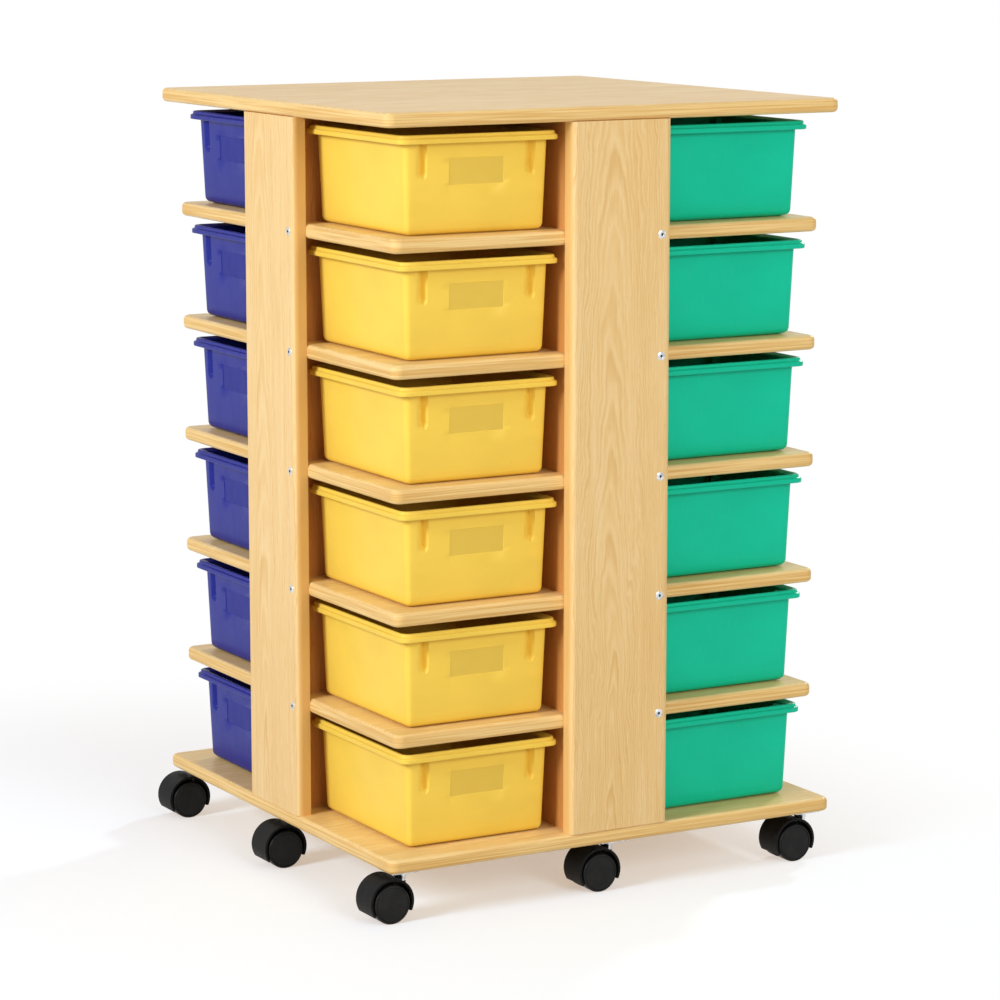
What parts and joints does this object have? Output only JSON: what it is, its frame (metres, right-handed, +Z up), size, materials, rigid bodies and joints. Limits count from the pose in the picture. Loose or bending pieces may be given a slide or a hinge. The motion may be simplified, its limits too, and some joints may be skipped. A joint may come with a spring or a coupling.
{
  "type": "classroom tray storage unit",
  "caption": "Mobile classroom storage tower with plastic trays that slide out of all four sides of a plywood carcass, a plain square top and hooded twin-wheel casters.",
  "frame": {"origin": "on the floor, under the middle of the tower", "axes": "+Z up; the front, where the front left stack's trays pull out, faces -Y; +X is the right-hand side"},
  "size_m": [0.7104, 0.6878, 1.0465],
  "materials": {
    "plywood": "clear lacquered birch plywood",
    "tray_yellow": "smooth moulded plastic",
    "tray_green": "smooth moulded plastic",
    "tray_blue": "smooth moulded plastic",
    "tray_red": "smooth moulded plastic",
    "caster_plastic": "black moulded nylon",
    "wheel_plastic": "black moulded nylon",
    "zinc_plated_steel": "bright zinc plate"
  },
  "bodies": {
    "cabinet": {"top_board": "plywood", "base_board": "plywood", "face_panel_front": "plywood", "face_panel_right": "plywood", "face_panel_back": "plywood", "face_panel_left": "plywood", "side_divider_front_left": "plywood", "back_board_front_left": "plywood", "shelves_front_left": "plywood", "side_divider_front_right": "plywood", "back_board_front_right": "plywood", "shelves_front_right": "plywood", "side_divider_back_right": "plywood", "back_board_back_right": "plywood", "shelves_back_right": "plywood", "side_divider_back_left": "plywood", "back_board_back_left": "plywood", "shelves_back_left": "plywood", "screws": "zinc_plated_steel", "caster_plates": "zinc_plated_steel"},
    "tray_front_left_1": {"tray_front_left_1": "tray_yellow"},
    "tray_front_left_2": {"tray_front_left_2": "tray_yellow"},
    "tray_front_left_3": {"tray_front_left_3": "tray_yellow"},
    "tray_front_left_4": {"tray_front_left_4": "tray_yellow"},
    "tray_front_left_5": {"tray_front_left_5": "tray_yellow"},
    "tray_front_left_6": {"tray_front_left_6": "tray_yellow"},
    "tray_front_right_1": {"tray_front_right_1": "tray_green"},
    "tray_front_right_2": {"tray_front_right_2": "tray_green"},
    "tray_front_right_3": {"tray_front_right_3": "tray_green"},
    "tray_front_right_4": {"tray_front_right_4": "tray_green"},
    "tray_front_right_5": {"tray_front_right_5": "tray_green"},
    "tray_front_right_6": {"tray_front_right_6": "tray_green"},
    "tray_back_right_1": {"tray_back_right_1": "tray_red"},
    "tray_back_right_2": {"tray_back_right_2": "tray_red"},
    "tray_back_right_3": {"tray_back_right_3": "tray_red"},
    "tray_back_right_4": {"tray_back_right_4": "tray_red"},
    "tray_back_right_5": {"tray_back_right_5": "tray_red"},
    "tray_back_right_6": {"tray_back_right_6": "tray_red"},
    "tray_back_left_1": {"tray_back_left_1": "tray_blue"},
    "tray_back_left_2": {"tray_back_left_2": "tray_blue"},
    "tray_back_left_3": {"tray_back_left_3": "tray_blue"},
    "tray_back_left_4": {"tray_back_left_4": "tray_blue"},
    "tray_back_left_5": {"tray_back_left_5": "tray_blue"},
    "tray_back_left_6": {"tray_back_left_6": "tray_blue"},
    "caster_hood_1": {"caster_hood_1": "caster_plastic"},
    "caster_wheels_1": {"caster_wheels_1": "wheel_plastic"},
    "caster_hood_2": {"caster_hood_2": "caster_plastic"},
    "caster_wheels_2": {"caster_wheels_2": "wheel_plastic"},
    "caster_hood_3": {"caster_hood_3": "caster_plastic"},
    "caster_wheels_3": {"caster_wheels_3": "wheel_plastic"},
    "caster_hood_4": {"caster_hood_4": "caster_plastic"},
    "caster_wheels_4": {"caster_wheels_4": "wheel_plastic"},
    "caster_hood_5": {"caster_hood_5": "caster_plastic"},
    "caster_wheels_5": {"caster_wheels_5": "wheel_plastic"},
    "caster_hood_6": {"caster_hood_6": "caster_plastic"},
    "caster_wheels_6": {"caster_wheels_6": "wheel_plastic"},
    "caster_hood_7": {"caster_hood_7": "caster_plastic"},
    "caster_wheels_7": {"caster_wheels_7": "wheel_plastic"},
    "caster_hood_8": {"caster_hood_8": "caster_plastic"},
    "caster_wheels_8": {"caster_wheels_8": "wheel_plastic"}
  },
  "joints": [
    {"name": "slide_tray_front_left_1", "type": "slide", "parent": "cabinet", "child": "tray_front_left_1", "axis": [0, -1, 0], "range_m": [0, 0.3]},
    {"name": "slide_tray_front_left_2", "type": "slide", "parent": "cabinet", "child": "tray_front_left_2", "axis": [0, -1, 0], "range_m": [0, 0.3]},
    {"name": "slide_tray_front_left_3", "type": "slide", "parent": "cabinet", "child": "tray_front_left_3", "axis": [0, -1, 0], "range_m": [0, 0.3]},
    {"name": "slide_tray_front_left_4", "type": "slide", "parent": "cabinet", "child": "tray_front_left_4", "axis": [0, -1, 0], "range_m": [0, 0.3]},
    {"name": "slide_tray_front_left_5", "type": "slide", "parent": "cabinet", "child": "tray_front_left_5", "axis": [0, -1, 0], "range_m": [0, 0.3]},
    {"name": "slide_tray_front_left_6", "type": "slide", "parent": "cabinet", "child": "tray_front_left_6", "axis": [0, -1, 0], "range_m": [0, 0.3]},
    {"name": "slide_tray_front_right_1", "type": "slide", "parent": "cabinet", "child": "tray_front_right_1", "axis": [1, 0, 0], "range_m": [0, 0.3]},
    {"name": "slide_tray_front_right_2", "type": "slide", "parent": "cabinet", "child": "tray_front_right_2", "axis": [1, 0, 0], "range_m": [0, 0.3]},
    {"name": "slide_tray_front_right_3", "type": "slide", "parent": "cabinet", "child": "tray_front_right_3", "axis": [1, 0, 0], "range_m": [0, 0.3]},
    {"name": "slide_tray_front_right_4", "type": "slide", "parent": "cabinet", "child": "tray_front_right_4", "axis": [1, 0, 0], "range_m": [0, 0.3]},
    {"name": "slide_tray_front_right_5", "type": "slide", "parent": "cabinet", "child": "tray_front_right_5", "axis": [1, 0, 0], "range_m": [0, 0.3]},
    {"name": "slide_tray_front_right_6", "type": "slide", "parent": "cabinet", "child": "tray_front_right_6", "axis": [1, 0, 0], "range_m": [0, 0.3]},
    {"name": "slide_tray_back_right_1", "type": "slide", "parent": "cabinet", "child": "tray_back_right_1", "axis": [0, 1, 0], "range_m": [0, 0.3]},
    {"name": "slide_tray_back_right_2", "type": "slide", "parent": "cabinet", "child": "tray_back_right_2", "axis": [0, 1, 0], "range_m": [0, 0.3]},
    {"name": "slide_tray_back_right_3", "type": "slide", "parent": "cabinet", "child": "tray_back_right_3", "axis": [0, 1, 0], "range_m": [0, 0.3]},
    {"name": "slide_tray_back_right_4", "type": "slide", "parent": "cabinet", "child": "tray_back_right_4", "axis": [0, 1, 0], "range_m": [0, 0.3]},
    {"name": "slide_tray_back_right_5", "type": "slide", "parent": "cabinet", "child": "tray_back_right_5", "axis": [0, 1, 0], "range_m": [0, 0.3]},
    {"name": "slide_tray_back_right_6", "type": "slide", "parent": "cabinet", "child": "tray_back_right_6", "axis": [0, 1, 0], "range_m": [0, 0.3]},
    {"name": "slide_tray_back_left_1", "type": "slide", "parent": "cabinet", "child": "tray_back_left_1", "axis": [-1, 0, 0], "range_m": [0, 0.3]},
    {"name": "slide_tray_back_left_2", "type": "slide", "parent": "cabinet", "child": "tray_back_left_2", "axis": [-1, 0, 0], "range_m": [0, 0.3]},
    {"name": "slide_tray_back_left_3", "type": "slide", "parent": "cabinet", "child": "tray_back_left_3", "axis": [-1, 0, 0], "range_m": [0, 0.3]},
    {"name": "slide_tray_back_left_4", "type": "slide", "parent": "cabinet", "child": "tray_back_left_4", "axis": [-1, 0, 0], "range_m": [0, 0.3]},
    {"name": "slide_tray_back_left_5", "type": "slide", "parent": "cabinet", "child": "tray_back_left_5", "axis": [-1, 0, 0], "range_m": [0, 0.3]},
    {"name": "slide_tray_back_left_6", "type": "slide", "parent": "cabinet", "child": "tray_back_left_6", "axis": [-1, 0, 0], "range_m": [0, 0.3]},
    {"name": "swivel_1", "type": "hinge", "parent": "cabinet", "child": "caster_hood_1", "pos_m": [-0.313, -0.313, 0.0675], "axis": [0, 0, 1], "continuous": true},
    {"name": "roll_1", "type": "hinge", "parent": "caster_hood_1", "child": "caster_wheels_1", "pos_m": [-0.335, -0.313, 0.026], "axis": [0, 1, 0], "continuous": true},
    {"name": "swivel_2", "type": "hinge", "parent": "cabinet", "child": "caster_hood_2", "pos_m": [0, -0.313, 0.0675], "axis": [0, 0, 1], "continuous": true},
    {"name": "roll_2", "type": "hinge", "parent": "caster_hood_2", "child": "caster_wheels_2", "pos_m": [-0.022, -0.313, 0.026], "axis": [0, 1, 0], "continuous": true},
    {"name": "swivel_3", "type": "hinge", "parent": "cabinet", "child": "caster_hood_3", "pos_m": [0.313, -0.313, 0.0675], "axis": [0, 0, 1], "continuous": true},
    {"name": "roll_3", "type": "hinge", "parent": "caster_hood_3", "child": "caster_wheels_3", "pos_m": [0.291, -0.313, 0.026], "axis": [0, 1, 0], "continuous": true},
    {"name": "swivel_4", "type": "hinge", "parent": "cabinet", "child": "caster_hood_4", "pos_m": [-0.313, 0, 0.0675], "axis": [0, 0, 1], "continuous": true},
    {"name": "roll_4", "type": "hinge", "parent": "caster_hood_4", "child": "caster_wheels_4", "pos_m": [-0.335, 0, 0.026], "axis": [0, 1, 0], "continuous": true},
    {"name": "swivel_5", "type": "hinge", "parent": "cabinet", "child": "caster_hood_5", "pos_m": [0.313, 0, 0.0675], "axis": [0, 0, 1], "continuous": true},
    {"name": "roll_5", "type": "hinge", "parent": "caster_hood_5", "child": "caster_wheels_5", "pos_m": [0.291, 0, 0.026], "axis": [0, 1, 0], "continuous": true},
    {"name": "swivel_6", "type": "hinge", "parent": "cabinet", "child": "caster_hood_6", "pos_m": [-0.313, 0.313, 0.0675], "axis": [0, 0, 1], "continuous": true},
    {"name": "roll_6", "type": "hinge", "parent": "caster_hood_6", "child": "caster_wheels_6", "pos_m": [-0.335, 0.313, 0.026], "axis": [0, 1, 0], "continuous": true},
    {"name": "swivel_7", "type": "hinge", "parent": "cabinet", "child": "caster_hood_7", "pos_m": [0, 0.313, 0.0675], "axis": [0, 0, 1], "continuous": true},
    {"name": "roll_7", "type": "hinge", "parent": "caster_hood_7", "child": "caster_wheels_7", "pos_m": [-0.022, 0.313, 0.026], "axis": [0, 1, 0], "continuous": true},
    {"name": "swivel_8", "type": "hinge", "parent": "cabinet", "child": "caster_hood_8", "pos_m": [0.313, 0.313, 0.0675], "axis": [0, 0, 1], "continuous": true},
    {"name": "roll_8", "type": "hinge", "parent": "caster_hood_8", "child": "caster_wheels_8", "pos_m": [0.291, 0.313, 0.026], "axis": [0, 1, 0], "continuous": true}
  ]
}
